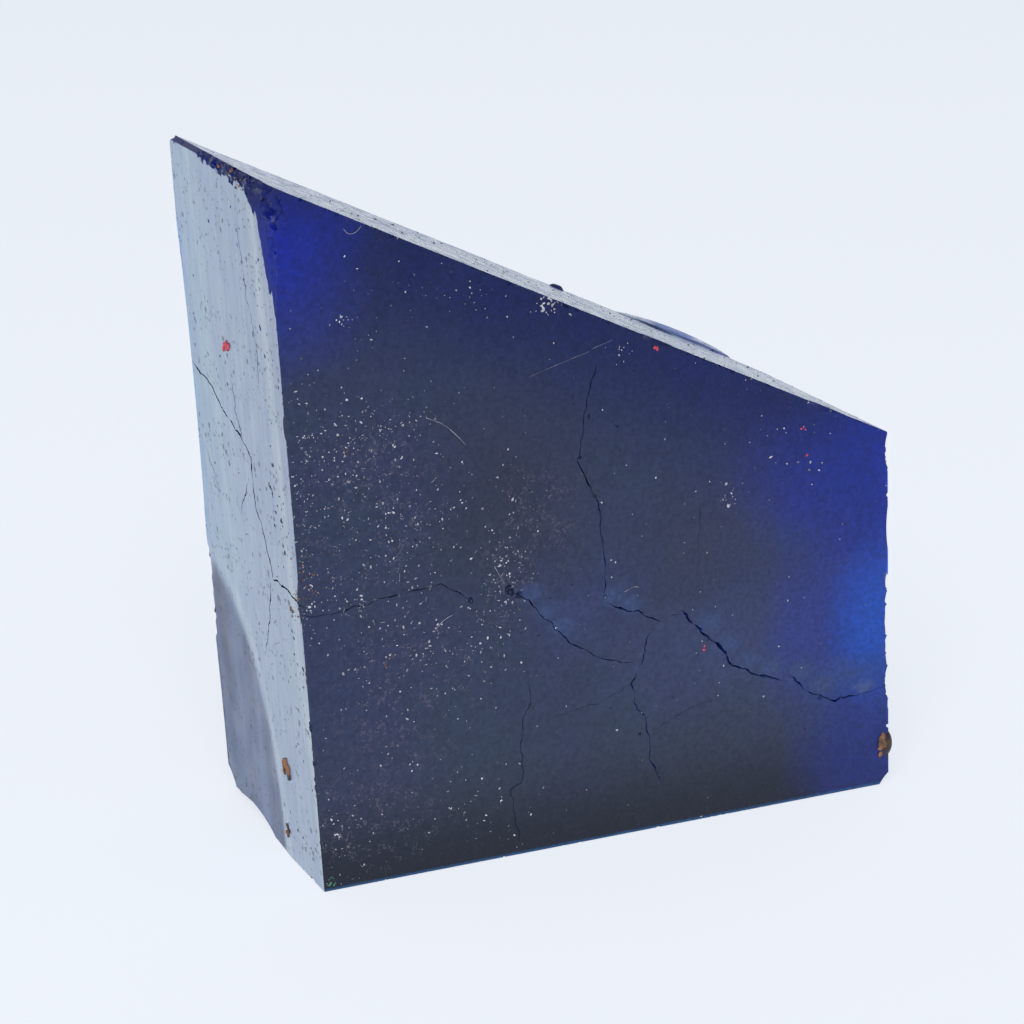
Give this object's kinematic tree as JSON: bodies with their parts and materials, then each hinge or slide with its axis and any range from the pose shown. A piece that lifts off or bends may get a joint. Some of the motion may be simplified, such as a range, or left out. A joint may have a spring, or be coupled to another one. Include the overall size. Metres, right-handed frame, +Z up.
{
  "type": "rough tanzanite stone",
  "caption": "Sawn slab of rough tanzanite with one tall and one low end, a sloping crest, a broken back, cracks, pits and chipped edges.",
  "frame": {"origin": "on the surface that the stone stands on, under the middle of its box", "axes": "+Z up from the sawn foot to the tall end's tip; +X along the foot from the tall end to the low end; +Y into the stone's depth, away from the broad sawn front face"},
  "size_m": [0.055, 0.0229, 0.056],
  "materials": {
    "tanzanite": "satin"
  },
  "bodies": {
    "root": {"tanzanite": "tanzanite"}
  },
  "joints": []
}
